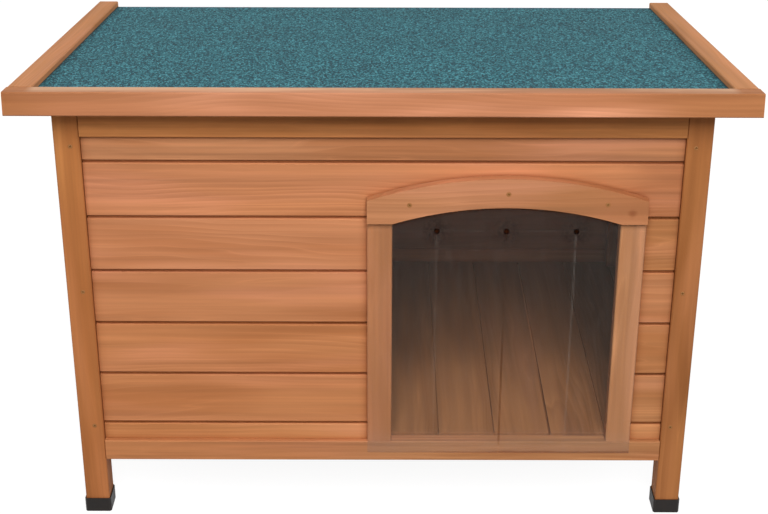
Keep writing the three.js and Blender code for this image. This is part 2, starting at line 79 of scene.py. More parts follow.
class Graph:
    """The nodes of a material or a world, and short calls that add to them.

    A value may be a number, a tuple or another node's socket.
    """

    def __init__(self, owner, output="ShaderNodeOutputMaterial"):
        owner.use_nodes = True
        self.owner = owner
        self.tree = owner.node_tree
        self.tree.nodes.clear()
        self.out = self.tree.nodes.new(output)

    def put(self, socket, value):
        if isinstance(value, bpy.types.NodeSocket):
            self.tree.links.new(value, socket)
        elif value is not None:
            socket.default_value = value

    def node(self, kind, inputs=None, **settings):
        made = self.tree.nodes.new(kind)
        for key, value in settings.items():
            setattr(made, key, value)
        for key, value in (inputs or {}).items():
            self.put(made.inputs[key], value)
        return made

    def math(self, operation, a, b=None, c=None, clamp=False):
        made = self.node("ShaderNodeMath", operation=operation, use_clamp=clamp)
        for socket, value in zip(made.inputs, (a, b, c)):
            self.put(socket, value)
        return made.outputs[0]

    def vector(self, operation, a, b=None, scale=None):
        made = self.node("ShaderNodeVectorMath", operation=operation)
        self.put(made.inputs[0], a)
        self.put(made.inputs[1], b)
        if scale is not None:
            self.put(made.inputs["Scale"], scale)
        return made.outputs["Value" if operation in ("DOT_PRODUCT", "LENGTH", "DISTANCE") else "Vector"]

    def split(self, vector):
        return self.node("ShaderNodeSeparateXYZ", {0: vector}).outputs

    def join(self, x, y, z):
        return self.node("ShaderNodeCombineXYZ", {0: x, 1: y, 2: z}).outputs[0]

    def mix(self, share, a, b, blend="MIX"):
        made = self.node("ShaderNodeMix", data_type="RGBA", blend_type=blend, clamp_factor=True)
        self.put(made.inputs[0], share)
        self.put(made.inputs[6], a)
        self.put(made.inputs[7], b)
        return made.outputs[2]

    def noise(self, vector, scale=1.0, detail=2.0, roughness=0.5, colour=False):
        inputs = {"Vector": vector, "Scale": scale, "Detail": detail, "Roughness": roughness}
        return self.node("ShaderNodeTexNoise", inputs).outputs["Color" if colour else "Fac"]

    def cells(self, vector, scale):
        return self.node("ShaderNodeTexVoronoi", {"Vector": vector, "Scale": scale}, feature="F1").outputs

    def openness(self, distance, only_local=False):
        """1 in the open, less in corners and recesses as wide as distance."""
        inputs = {"Distance": distance}
        return self.node("ShaderNodeAmbientOcclusion", inputs, samples=8, only_local=only_local).outputs["AO"]

    def remap(self, value, low, high, to_low=0.0, to_high=1.0, smooth=False):
        kind = "SMOOTHSTEP" if smooth else "LINEAR"
        inputs = {0: value, 1: low, 2: high, 3: to_low, 4: to_high}
        return self.node("ShaderNodeMapRange", inputs, interpolation_type=kind, clamp=True).outputs[0]

    def bump(self, strength, distance, height):
        inputs = {"Strength": strength, "Distance": distance, "Height": height}
        return self.node("ShaderNodeBump", inputs).outputs[0]

    def blend(self, share, first, second):
        """Two shaders, and how much of the second."""
        return self.node("ShaderNodeMixShader", {0: share, 1: first, 2: second}).outputs[0]

    def principled(self, inputs):
        return self.node("ShaderNodeBsdfPrincipled", inputs).outputs[0]

    def finish(self, shader):
        self.tree.links.new(shader, self.out.inputs["Surface"])
        return self.owner


def material_graph(name):
    return Graph(bpy.data.materials.new(name))


def sharp_edges(g, radius):
    """1 along the sharp outer edges of a piece, 0 on its faces."""
    rounded = g.node("ShaderNodeBevel", {"Radius": radius}, samples=4).outputs[0]
    flat = g.node("ShaderNodeNewGeometry").outputs["Normal"]
    return g.remap(g.vector("DOT_PRODUCT", rounded, flat), 0.97, 0.75)


def off(g, value, middle):
    """How far value is from middle, either way."""
    return g.math("ABSOLUTE", g.math("SUBTRACT", value, middle))


# ---------------------------------------------------------------- softwood under a stain

# Along the grain, across it and above it, as indices of x, y and z
GRAIN_ORDER = {"x": (0, 1, 2), "y": (1, 0, 2), "z": (2, 0, 1)}

# Features of the figure: length along the grain and width across it
CLOUDS = (0.34, 0.055)
BANDS = (0.75, 0.016)
STREAKS = (0.30, 0.0075)
FIBRES = (0.11, 0.0024)
BAND_CONTRAST = 0.55
STREAK_CONTRAST = 0.34
FIBRE_CONTRAST = 0.16

# Growth rings
RING_WIDTH = 5.6 * MM
RING_UNEVENNESS = 3.2  # rings
UNEVENNESS_SCALE = 46.0
PITH_WANDER = 0.062
WANDER_ALONG, WANDER_ACROSS = 2.1, 7.0  # how often it turns, in each metre
LATE_WOOD_SHARE = 0.30
PALE_LINE_CONTRAST = 0.09

# How each board of a joined panel differs from the next: another stretch of the tree, and another tone
BOARD_SHIFT_ALONG = 9.0
BOARD_SHIFT_ACROSS = 0.06
BOARD_CONTRAST = 0.16
SEED_SHIFT = 1.37  # metres along the tree for each step of the seed

PATCH_RAGGEDNESS = 0.12
END_GRAIN_CONTRAST = 0.16
PALE_EDGE_RADIUS = 1.5 * MM
KNOT_TONE = (132, 70, 38)
# Painted shade: the tint of grooves and corners, and how wide a corner takes it
CORNER_SHADE = (0.50, 0.36, 0.26, 1.0)
SHADE_REACH = 12 * MM

# Parts of the floor, as where each begins and where it is full: x grows to the right and y to the rear
# Painted shadow along the right wall, and painted light that lifts the shade of the floor's gaps
SHADOWED_SIDE = (0.258, 0.300)
SHADOWED_SIDE_VALUE = 0.64
FAR_PLANKS = (-0.16, 0.02)
LEFT_GAPS = (0.19, 0.16)
LAST_GAP = (0.24, 0.26)
GAP_LIGHT_VALUES = (0.90, 1.65)  # near, and far or by the wall


def grain_space(g, xyz, grain, seed, courses):
    """Where a point lies along, across and above the grain.

    Then its true run along the piece, and its board's own draw for the tone, if the piece is a panel.
    """
    along, across, rise = (xyz[index] for index in GRAIN_ORDER[grain])
    run = along
    board_draw = None
    if courses:
        axis, first, pitch = courses
        steps = g.math("DIVIDE", g.math("SUBTRACT", xyz["xyz".index(axis)], first), pitch)
        number = g.math("FLOOR", steps)
        share = g.math("SUBTRACT", g.math("SUBTRACT", steps, number), 0.5)
        local = g.math("MULTIPLY", share, pitch)
        random = g.node("ShaderNodeTexWhiteNoise", {"W": g.math("ADD", number, seed)}, noise_dimensions="1D")
        draw = g.split(g.vector("SUBTRACT", random.outputs["Color"], (0.5, 0.5, 0.5)))
        board_draw = draw[0]
        along = g.math("MULTIPLY_ADD", draw[1], BOARD_SHIFT_ALONG, along)
        shifted = g.math("MULTIPLY_ADD", draw[2], BOARD_SHIFT_ACROSS, local)
        if GRAIN_ORDER[grain][1] == "xyz".index(axis):
            across = shifted
        else:
            rise = shifted
    along = g.math("ADD", along, seed * SEED_SHIFT)
    return along, across, rise, run, board_draw


def growth_rings(g, along, cross_a, cross_b):
    """The late wood of rings round a pith that wanders along the grain, and the pale line after each."""
    slow = g.join(
        g.math("MULTIPLY", along, WANDER_ALONG),
        g.math("MULTIPLY", cross_a, WANDER_ACROSS),
        g.math("MULTIPLY", cross_b, WANDER_ACROSS),
    )
    wander = g.split(g.vector("SUBTRACT", g.noise(slow, 1.0, 2.0, 0.45, colour=True), (0.5, 0.5, 0.5)))
    ring_a = g.math("MULTIPLY_ADD", wander[0], PITH_WANDER, cross_a)
    ring_b = g.math("MULTIPLY_ADD", wander[1], PITH_WANDER, cross_b)
    section = g.join(0.0, ring_a, ring_b)
    uneven = g.noise(section, UNEVENNESS_SCALE, 2.0)
    turns = g.math("MULTIPLY", g.vector("LENGTH", section), 1 / RING_WIDTH)
    ring = g.math("FRACT", g.math("MULTIPLY_ADD", uneven, RING_UNEVENNESS, turns))

    def rise_and_fall(start, full, fading, end):
        rising = g.remap(ring, start, full, smooth=True)
        falling = g.remap(ring, end, fading, smooth=True)
        return g.math("MULTIPLY", rising, falling)

    return rise_and_fall(0.2, 0.84, 0.86, 1.0), rise_and_fall(0.0, 0.06, 0.06, 0.16)


def floor_shade_and_light(g, xyz, colour, corner_shaded):
    """The floor, with a painted shadow by the right wall, and painted light over the shade of its gaps, apart
    from the widest.
    """
    side_shadow = g.remap(xyz[0], *SHADOWED_SIDE, 1.0, SHADOWED_SIDE_VALUE, smooth=True)
    colour = g.vector("SCALE", colour, scale=side_shadow)
    far = g.remap(xyz[1], *FAR_PLANKS)
    by_wall = g.remap(xyz[0], *LAST_GAP, *GAP_LIGHT_VALUES)
    gap_light = g.math("MAXIMUM", g.remap(far, 0.0, 1.0, *GAP_LIGHT_VALUES), by_wall)
    lit_gaps = g.vector("SCALE", colour, scale=gap_light)
    narrow = g.math("MAXIMUM", g.remap(xyz[0], *LEFT_GAPS), g.remap(xyz[0], *LAST_GAP))
    return colour, g.mix(g.math("MAXIMUM", narrow, far), corner_shaded, lit_gaps)


def wood(name, tone, grain, seed, pith, slope=0.0, courses=None, warm=None, patches=(), knots=(),
         neighbour_shade=True, figure=1.0, contrast=1.0, wear_and_highlight=0.14, top_sheen=None, edge_shade=0.0, shade_reach=SHADE_REACH,
         painted_floor_light=False):
    """Stained softwood. grain is the axis of the fibres, and slope tilts it about X, in degrees.

    pith: where the middle of the tree lies from the piece, across the grain and above it.
    courses: (axis, first, pitch) of a panel of joined boards, each with its own grain and tone.
    warm: the tone of the darker bands.
    patches: (middle, inner, outer, tone), each another tone for a length of the piece.
    knots: (place, radius).
    hollows: whether the pieces beside this one count as a corner that takes painted shade.
    figure, contrast: how strongly the rings and the streaks show.
    wear: how much paler the edges are: worn, and a painted highlight.
    crown: (tone, near, far, reach), a painted sheen: the tone of faces that look up. It grows from near to
    far, both in y, and goes as far as reach to either side.
    sawn: how much darker the top and bottom edges are, as painted shade.
    shade_reach: how wide a corner or a groove takes painted shade.
    painted_floor_light: a painted shadow by the right wall and painted light in the floor's gaps, see
    floor_shade_and_light.
    """
    g = material_graph(name)
    coords = g.node("ShaderNodeTexCoord")
    place = coords.outputs["Object"]
    if slope:
        turned = g.node("ShaderNodeMapping", {"Vector": place, "Rotation": (math.radians(slope), 0, 0)})
        place = turned.outputs[0]
    xyz = g.split(place)
    normal = g.split(coords.outputs["Normal"])
    along, across, rise, run, board_draw = grain_space(g, xyz, grain, seed, courses)

    def layer(size, detail, colour=False):
        length, width = size
        point = g.join(
            g.math("MULTIPLY", along, 1 / length),
            g.math("MULTIPLY", across, 1 / width),
            g.math("MULTIPLY", rise, 1 / width),
        )
        return g.noise(point, 1.0, detail, 0.5, colour)

    clouds = g.split(layer(CLOUDS, 2.0, colour=True))
    bands = layer(BANDS, 2.0)
    streak = layer(STREAKS, 3.0)
    fine = layer(FIBRES, 3.0)
    late, pale_line = growth_rings(g, along, g.math("ADD", across, pith[0]), g.math("ADD", rise, pith[1]))
    strength = g.remap(clouds[2], 0.40, 0.62, 0.15, 1.0, smooth=True)

    # Tone: patches and the painted sheen on top faces, then dark and pink clouds and the late wood
    dark_tone = rgb(*(warm or (tone[0] * 0.88, tone[1] * 0.82, tone[2] * 0.74)))
    pink_tone = rgb(min(tone[0] * 1.07, 235), tone[1] * 1.07, tone[2] * 1.17)
    colour = rgb(*tone)
    for middle, inner, outer, patch_tone in patches:
        ragged = g.math("MULTIPLY_ADD", clouds[1], PATCH_RAGGEDNESS, run)
        reach = off(g, ragged, middle + PATCH_RAGGEDNESS / 2)
        colour = g.mix(g.remap(reach, outer, inner, smooth=True), colour, rgb(*patch_tone))
    # Painted sheen: faces that look up take a paler tone
    if top_sheen:
        sheen_tone, near, far, reach = top_sheen
        share = g.math("MULTIPLY", g.remap(normal[2], 0.75, 0.95), g.remap(xyz[1], near, far, 0.45, 1.0))
        inside = g.remap(g.math("ABSOLUTE", xyz[0]), reach, reach - 10 * MM)
        colour = g.mix(g.math("MULTIPLY", share, inside), colour, rgb(*sheen_tone))
    colour = g.mix(g.remap(clouds[0], 0.46, 0.68, 0.0, 0.62, smooth=True), colour, dark_tone)
    colour = g.mix(g.remap(clouds[1], 0.47, 0.70, 0.0, 0.75, smooth=True), colour, pink_tone)
    late_share = g.math("MULTIPLY", g.math("MULTIPLY", late, strength), LATE_WOOD_SHARE * figure)
    colour = g.mix(late_share, colour, dark_tone)

    # Brightness: bands, streaks, fibres, pale lines and the board's own draw
    value = 1.0
    for noise, gain in ((bands, BAND_CONTRAST), (streak, STREAK_CONTRAST), (fine, FIBRE_CONTRAST)):
        value = g.math("MULTIPLY_ADD", g.math("SUBTRACT", noise, 0.5), gain * contrast, value)
    pale_share = g.math("MULTIPLY", pale_line, strength)
    value = g.math("MULTIPLY_ADD", pale_share, PALE_LINE_CONTRAST * figure, value)
    if board_draw is not None:
        value = g.math("MULTIPLY_ADD", board_draw, BOARD_CONTRAST, value)

    # End grain drinks more stain, and edges are paler: worn, and with a painted highlight
    facing = g.math("ABSOLUTE", normal["xyz".index(grain)])
    end_grain = g.remap(facing, 0.6, 0.9)
    value = g.math("MULTIPLY", value, g.math("MULTIPLY_ADD", end_grain, -END_GRAIN_CONTRAST, 1.0))
    worn_and_lit = g.math("MULTIPLY", sharp_edges(g, PALE_EDGE_RADIUS), g.remap(streak, 0.35, 0.6, 0.45, 1.0))
    value = g.math("MULTIPLY_ADD", worn_and_lit, wear_and_highlight, value)
    # Painted shade on the top and bottom edges
    if edge_shade:
        edge = g.remap(g.math("ABSOLUTE", normal[2]), 0.5, 0.8, 1.0, 1.0 - edge_shade)
        value = g.math("MULTIPLY", value, edge)
    colour = g.vector("SCALE", colour, scale=value)
    for spot, size in knots:
        reach = g.vector("DISTANCE", coords.outputs["Object"], tuple(spot))
        reach = g.math("MULTIPLY_ADD", g.math("SUBTRACT", streak, 0.5), size * 1.5, reach)
        colour = g.mix(g.remap(reach, size, size * 0.3, 0.0, 0.6, smooth=True), colour, rgb(*KNOT_TONE))

    # Painted shade gathers in the grooves and corners, where shade falls
    corner_shaded = g.mix(1.0, colour, CORNER_SHADE, "MULTIPLY")
    # Painted shadow and painted light on the floor
    if painted_floor_light:
        colour, corner_shaded = floor_shade_and_light(g, xyz, colour, corner_shaded)
    hollow = g.openness(shade_reach, only_local=not neighbour_shade)
    colour = g.mix(g.remap(hollow, 0.94, 0.38, 0.0, 0.82), colour, corner_shaded)

    height = g.math("MULTIPLY_ADD", late, -0.35, g.math("MULTIPLY", fine, 0.8))
    return g.finish(g.principled({
        "Base Color": colour,
        "Roughness": g.remap(fine, 0.3, 0.7, 0.58, 0.74),
        "Specular IOR Level": 0.16,
        "Normal": g.bump(0.3, 0.3 * MM, height),
    }))


# ---------------------------------------------------------------- mineral felt

# Grains of two sizes, by how many fit in a metre. They look half as deep as wide, as the light falls on them.
SMALL_GRAINS = 980.0
LARGE_GRAINS = 560.0
GRAIN_CLUMPS = 260.0
GRAIN_STRETCH = (1.0, 0.5, 1.0)
FELT_TONES = ((1, 29, 39), (20, 85, 97), (99, 175, 185))
FELT_CUT_TONE = (40, 38, 37)
FELT_REAR_TONE = (26, 48, 54)


def mineral_felt():
    """Blue-green slate grains on bitumen, with painted shade beside the battens, and dark at the rear edge.
    """
    g = material_graph("mineral_felt")
    coords = g.node("ShaderNodeTexCoord")
    place = coords.outputs["Object"]
    drawn = g.vector("MULTIPLY", place, GRAIN_STRETCH)
    small = g.cells(drawn, SMALL_GRAINS)
    large = g.cells(drawn, LARGE_GRAINS)
    small_draw = g.split(small["Color"])[0]
    large_draw = g.split(large["Color"])[0]
    blotch = g.noise(place, 9.0, 3.0, 0.6)
    clump = g.noise(drawn, GRAIN_CLUMPS, 2.0, 0.6)
    draw = g.math("MULTIPLY_ADD", large_draw, 0.62, g.math("MULTIPLY", small_draw, 0.38))
    draw = g.math("MULTIPLY_ADD", g.math("SUBTRACT", clump, 0.5), 0.35, draw)

    dark, middle, pale = (rgb(*tone) for tone in FELT_TONES)
    colour = g.mix(g.remap(draw, 0.12, 0.46), dark, middle)
    colour = g.mix(g.remap(draw, 0.52, 0.95), colour, pale)
    colour = g.vector("SCALE", colour, scale=g.remap(blotch, 0.3, 0.7, 0.78, 0.91))
    # Painted shade on the felt beside the battens
    beside = g.openness(7 * MM)
    colour = g.vector("SCALE", colour, scale=g.remap(beside, 0.94, 0.58, 1.0, 0.28))
    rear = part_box("roof_felt")[1].y
    at_rear = g.remap(g.split(place)[1], rear - 4 * MM, rear - 2 * MM, 0.0, 0.7)
    colour = g.mix(at_rear, colour, rgb(*FELT_REAR_TONE))
    cut_edge = g.remap(g.split(coords.outputs["Normal"])[2], 0.8, 0.5)
    colour = g.mix(cut_edge, colour, rgb(*FELT_CUT_TONE))

    height = g.math("MULTIPLY_ADD", small["Distance"], -0.6, g.math("MULTIPLY", large["Distance"], -0.8))
    return g.finish(g.principled({
        "Base Color": colour,
        "Roughness": g.remap(small_draw, 0.0, 1.0, 0.72, 0.95),
        "Specular IOR Level": 0.25,
        "Normal": g.bump(0.8, 0.9 * MM, height),
    }))


# ---------------------------------------------------------------- plastic and metal

def moulded_plastic():
    """Black plastic feet, scuffed grey at their edges."""
    g = material_graph("foot_plastic")
    place = g.node("ShaderNodeTexCoord").outputs["Object"]
    spark = g.noise(place, 900.0, 2.0, 0.5)
    scuff = g.noise(place, 60.0, 4.0, 0.7)
    colour = g.mix(g.remap(scuff, 0.45, 0.75, 0.0, 0.5), rgb(28, 24, 22), rgb(46, 39, 35))
    colour = g.mix(g.math("MULTIPLY", sharp_edges(g, 1.0 * MM), 0.45), colour, rgb(86, 80, 74))
    return g.finish(g.principled({
        "Base Color": colour,
        "Roughness": g.remap(scuff, 0.3, 0.7, 0.45, 0.62),
        "Specular IOR Level": 0.25,
        "Normal": g.bump(0.3, 0.15 * MM, spark),
    }))


def zinc_plate():
    """Zinc-plated steel with a faint spangle and dull spots."""
    g = material_graph("zinc_plate")
    place = g.node("ShaderNodeTexCoord").outputs["Object"]
    spangle = g.split(g.cells(place, 240.0)["Color"])[1]
    dull = g.noise(place, 130.0, 4.0, 0.65)
    colour = g.mix(spangle, rgb(186, 188, 190), rgb(212, 214, 214))
    colour = g.mix(g.remap(dull, 0.5, 0.8, 0.0, 0.5), colour, rgb(150, 148, 143))
    return g.finish(g.principled({
        "Base Color": colour,
        "Metallic": 1.0,
        "Roughness": g.remap(dull, 0.3, 0.75, 0.26, 0.5),
    }))


# ---------------------------------------------------------------- clear sheet

# Where each slit of the sheet is, and how white it has gone. The middle one is ajar and looks dark instead.
SLITS = ((63.5 * MM, 0.038), (146.0 * MM, 0.004), (228.5 * MM, 0.056))
HOLE_HEIGHT = 396.6 * MM
HOLE_RADIUS = 2.5 * MM
SHEET_FOOT = 90 * MM
FOOT_RAGGEDNESS = 4 * MM

# What the sheet lets through where it is clean, smudged, ajar, at its foot's edge as a painted shadow, and
# round a punched hole
CLEAR_TINT = (0.957, 0.957, 0.952, 1.0)
SMUDGE_TINT = (0.68, 0.66, 0.64, 1.0)
AJAR_TINT = (0.66, 0.55, 0.47, 1.0)
FOOT_SHADOW_TINT = (0.72, 0.58, 0.48, 1.0)
BURNT_TINT = (0.36, 0.38, 0.39, 1.0)


def clear_sheet():
    """Clear flexible plastic: see-through, with whitened slits, dark punched holes and a hazy foot."""
    g = material_graph("clear_pvc")
    coords = g.node("ShaderNodeTexCoord")
    xyz = g.split(coords.outputs["Object"])
    normal = g.split(coords.outputs["Normal"])
    drawn = g.join(g.math("MULTIPLY", xyz[0], 160.0), xyz[1], g.math("MULTIPLY", xyz[2], 26.0))
    rolled = g.join(g.math("MULTIPLY", xyz[0], 22.0), xyz[1], g.math("MULTIPLY", xyz[2], 3.0))
    waves = g.noise(rolled, 1.0, 2.0, 0.5)
    scuffs = g.noise(drawn, 1.0, 4.0, 0.7)

    # Slits: whitened in broken lines below their holes, and the middle one ajar in its lower half
    whitened = 0.0
    off_hole = 1.0
    for middle, whiteness in SLITS:
        side = off(g, xyz[0], middle)
        away = g.vector("LENGTH", g.join(side, 0.0, g.math("SUBTRACT", xyz[2], HOLE_HEIGHT)))
        whitened = g.math("MULTIPLY_ADD", g.remap(side, 1.3 * MM, 0.5 * MM), whiteness, whitened)
        off_hole = g.math("MINIMUM", away, off_hole)
    below = g.remap(xyz[2], HOLE_HEIGHT - HOLE_RADIUS, HOLE_HEIGHT - 3 * HOLE_RADIUS)
    broken = g.remap(g.noise(g.math("MULTIPLY", xyz[2], 30.0), 1.0, 3.0, 0.6), 0.35, 0.6, 0.35, 1.0)
    whitened = g.math("MULTIPLY", whitened, g.math("MULTIPLY", below, broken))
    middle_slit = SLITS[1][0]
    lower_half = g.math("MULTIPLY", g.remap(xyz[2], 0.28, 0.22), g.remap(xyz[2], 0.098, 0.112))
    ajar = g.math("MULTIPLY", g.remap(off(g, xyz[0], middle_slit), 1.3 * MM, 0.6 * MM), lower_half)

    # Holes: a burnt rim and mottled smudges
    burnt = g.remap(off_hole, HOLE_RADIUS + 1.2 * MM, HOLE_RADIUS + 0.4 * MM)
    mottled = g.remap(g.noise(coords.outputs["Object"], 230.0, 4.0, 0.7), 0.42, 0.58)
    smudge = g.math("MULTIPLY", g.remap(off_hole, 24 * MM, 6 * MM, smooth=True), mottled)

    # Foot: a haze, and a ragged painted shadow along its edge that fades to the left
    foot = g.remap(xyz[2], SHEET_FOOT + 40 * MM, SHEET_FOOT + 14 * MM, 0.0, 0.018, smooth=True)
    ragged = g.noise(g.math("MULTIPLY", xyz[0], 14.0), 1.0, 2.0, 0.5)
    level = g.math("MULTIPLY_ADD", ragged, -FOOT_RAGGEDNESS, xyz[2])
    foot_shadow = g.math(
        "MULTIPLY",
        g.remap(level, SHEET_FOOT + 0.2 * MM, SHEET_FOOT - 0.8 * MM),
        g.remap(xyz[0], 0.02, 0.16, 0.15, 1.0),
    )

    # How solid it looks: haze and gloss, but not on its side edges, then the slits, and not at the burnt rims
    side_edge = g.remap(g.math("ABSOLUTE", normal[0]), 0.6, 0.9)
    haze = g.math("ADD", g.remap(scuffs, 0.45, 0.8, 0.012, 0.020), foot)
    grazing = g.node("ShaderNodeLayerWeight", {"Blend": 0.5}).outputs["Facing"]
    gloss = g.math("MULTIPLY_ADD", g.math("POWER", grazing, 5.0), 0.7, 0.004)
    solid = g.math("MULTIPLY", g.math("ADD", haze, gloss), g.math("SUBTRACT", 1.0, side_edge))
    solid = g.math("ADD", solid, whitened)
    solid = g.math("MULTIPLY", solid, g.math("SUBTRACT", 1.0, burnt), clamp=True)

    tint = g.mix(g.math("MULTIPLY", smudge, 0.8), CLEAR_TINT, SMUDGE_TINT)
    tint = g.mix(g.math("MULTIPLY", ajar, 0.85), tint, AJAR_TINT)
    # The painted shadow along the foot's edge
    tint = g.mix(g.math("MULTIPLY", foot_shadow, 0.5), tint, FOOT_SHADOW_TINT)
    tint = g.mix(burnt, tint, BURNT_TINT)
    clear = g.node("ShaderNodeBsdfTransparent", {"Color": tint}).outputs[0]
    body = g.principled({
        "Base Color": rgb(238, 230, 220),
        "Roughness": 0.14,
        "Specular IOR Level": 0.5,
        "Normal": g.bump(0.25, 4 * MM, waves),
    })
    return g.finish(g.blend(solid, clear, body))


# ---------------------------------------------------------------- what each CAD piece is made of

ROOF_SLOPE = 6.0
BOARD_PITCH = 70.5 * MM
FIRST_COURSE = 130 * MM
COURSE_JOINT = 1.5 * MM  # middle of the groove below a course
FLOOR_OFFSET = 0.6 * MM

# The order sets each piece's seed, so a new piece goes last in its table
BOARD_TONES = {
    "front_upper_board_2": (195, 133, 91),
    "front_upper_board_1": (196, 129, 86),
    "front_left_board_5": (201, 134, 92),
    "front_left_board_4": (197, 130, 86),
    "front_left_board_3": (198, 130, 83),
    "front_left_board_2": (198, 130, 83),
    "front_right_board_5": (182, 121, 75),
    "front_right_board_4": (194, 130, 87),
    "front_right_board_3": (193, 130, 83),
    "front_right_board_2": (193, 132, 86),
    "front_left_board_1": (212, 143, 92),
    "front_bottom_rail": (192, 126, 80),
    "front_top_rail": (190, 124, 70),
    "door_arch": (190, 129, 88),
    "roof_front_batten": (172, 112, 70),
    # rear_bottom_rail: darker as painted shade, like the inside of the house round it
    "rear_bottom_rail": (138, 93, 67),
    "rear_top_rail": (187, 124, 83),
    "floor_front_ledger": (178, 120, 80),
    "floor_rear_ledger": (178, 120, 80),
    "floor_middle_joist": (182, 124, 84),
    "front_right_board_1": (206, 140, 91),
}
LENGTHWISE_TONES = {
    "left_bottom_rail": (183, 120, 79),
    "right_bottom_rail": (180, 117, 76),
}
SLOPING_TONES = {
    "left_top_rail": (187, 123, 81),
    "right_top_rail": (184, 121, 80),
    "roof_left_batten": (183, 123, 77),
    "roof_right_batten": (183, 124, 77),
}
UPRIGHT_TONES = {
    "front_left_post": (184, 117, 66),
    "front_right_post": (171, 110, 62),
    "rear_left_post": (176, 112, 66),
    "rear_right_post": (174, 110, 64),
    "door_left_jamb": (187, 122, 76),
    "door_right_jamb": (205, 143, 95),
}
# Tones, grain, slope and first seed
SINGLE_PIECES = (
    (BOARD_TONES, "x", 0.0, 1.0),
    (LENGTHWISE_TONES, "y", 0.0, 21.0),
    (SLOPING_TONES, "y", ROOF_SLOPE, 23.0),
    (UPRIGHT_TONES, "z", 0.0, 27.0),
)

# Piece, tone, grain, seed and pith
WALL_PANELS = (
    ("rear_cladding", (190, 125, 83), "x", 31.0, (-0.21, 0)),
    ("left_cladding", (190, 124, 82), "y", 47.0, (0.42, 0)),
    ("right_cladding", (186, 122, 80), "y", 59.0, (-0.32, 0)),
)
FLOOR_TONE = (147, 99, 63)
DECK_TONE = (206, 166, 118)
DECK_WARM_TONE = (188, 140, 92)

# These take no painted shade from their neighbours: the clear sheet or the felt beside them would count as a
# corner
NO_NEIGHBOUR_SHADE = (
    "door_left_jamb", "door_right_jamb", "door_arch", "front_bottom_rail",
    "roof_front_batten", "roof_left_batten", "roof_right_batten",
)
# Painted light: paler at the front of the floor, inside the doorway where the light falls in
DOORWAY_LIGHT_POOL = ((-0.26, 0.05, 0.24, (178, 121, 78)),)
PATCHES = {
    "roof_front_batten": ((0.02, 0.17, 0.34, (227, 157, 121)),),
    "door_arch": ((0.29, 0.04, 0.10, (180, 119, 80)), (0.18, 0.05, 0.09, (176, 118, 77))),
    "front_upper_board_1": ((0.34, 0.03, 0.09, (178, 114, 75)),),
    "front_left_post": ((0.05, 0.04, 0.12, (166, 101, 53)), (0.52, 0.05, 0.14, (196, 129, 73))),
    "front_right_post": ((0.26, 0.06, 0.14, (145, 89, 45)), (0.05, 0.04, 0.10, (186, 121, 70))),
    "door_right_jamb": ((0.12, 0.08, 0.20, (222, 158, 110)),),
    "front_bottom_rail": ((0.16, 0.14, 0.26, (198, 136, 89)),),
}
# What sets some pieces apart
TRAITS = {
    "roof_front_batten": {"figure": 0.5, "wear_and_highlight": 0.7, "top_sheen": ((208, 165, 132), -0.299, -0.274, 0.402)},
    "door_arch": {"wear_and_highlight": 0.04, "edge_shade": 0.08},
    "front_bottom_rail": {"figure": 2.0, "contrast": 1.7},
    "front_top_rail": {"figure": 1.8, "contrast": 1.8},
    "front_upper_board_2": {"figure": 1.5, "contrast": 1.8},
    "front_upper_board_1": {"figure": 1.4, "contrast": 1.3, "shade_reach": 5 * MM},
}
KNOTS = {
    "door_arch": (((0.2925, -0.268, 0.4215), 0.009),),
    "front_upper_board_1": (((-0.215, -0.262, 0.447), 0.004),),
}


def dress(node, material):
    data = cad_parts[node].data
    data.materials.clear()
    data.materials.append(material)


# A pith goes round its piece by this angle from seed to seed, and lies 20 to 80 mm from the piece's middle
GOLDEN_ANGLE = 2.399
PITH_REACH, PITH_REACH_SPREAD, PITH_REACH_RATE = 0.05, 0.03, 5.1


def own_pith(node, grain, slope, seed):
    """Where the piece's pith lies from the origin, across the grain and above it."""
    low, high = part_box(node)
    middle = (low + high) / 2
    if slope:
        middle = Matrix.Rotation(math.radians(slope), 3, "X") @ middle
    order = GRAIN_ORDER[grain]
    turn = seed * GOLDEN_ANGLE
    reach = PITH_REACH + PITH_REACH_SPREAD * math.sin(seed * PITH_REACH_RATE)
    return reach * math.cos(turn) - middle[order[1]], reach * math.sin(turn) - middle[order[2]]


def dress_single_pieces():
    for tones, grain, slope, first_seed in SINGLE_PIECES:
        for index, (node, tone) in enumerate(tones.items()):
            seed = first_seed + index
            pith = own_pith(node, grain, slope, seed)
            dress(node, wood(
                f"wood_{node}", tone, grain, seed, pith, slope, patches=PATCHES.get(node, ()),
                knots=KNOTS.get(node, ()), neighbour_shade=node not in NO_NEIGHBOUR_SHADE, **TRAITS.get(node, {}),
            ))


def dress_panels():
    wall = ("z", FIRST_COURSE - COURSE_JOINT, BOARD_PITCH)
    planks = ("x", FLOOR_OFFSET, BOARD_PITCH)
    for node, tone, grain, seed, pith in WALL_PANELS:
        dress(node, wood(f"wood_{node}", tone, grain, seed, pith, courses=wall))
    dress("floor_panel", wood(
        "wood_floor", FLOOR_TONE, "y", seed=71.0, pith=(0, -0.06), courses=planks, patches=DOORWAY_LIGHT_POOL,
        neighbour_shade=False, painted_floor_light=True,
    ))
    dress("roof_deck", wood(
        "wood_deck", DECK_TONE, "x", seed=83.0, pith=(0.0, -0.30), slope=ROOF_SLOPE, warm=DECK_WARM_TONE,
    ))


dress_single_pieces()
dress_panels()
felt_look = mineral_felt()
foot_look = moulded_plastic()
zinc_look = zinc_plate()
sheet_look = clear_sheet()
for node_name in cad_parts:
    if node_name == "roof_felt":
        dress(node_name, felt_look)
    elif node_name.endswith("_foot"):
        dress(node_name, foot_look)
    elif "hinge" in node_name or "stay" in node_name:
        dress(node_name, zinc_look)
    elif node_name.startswith("curtain"):
        dress(node_name, sheet_look)


# ---------------------------------------------------------------- screws

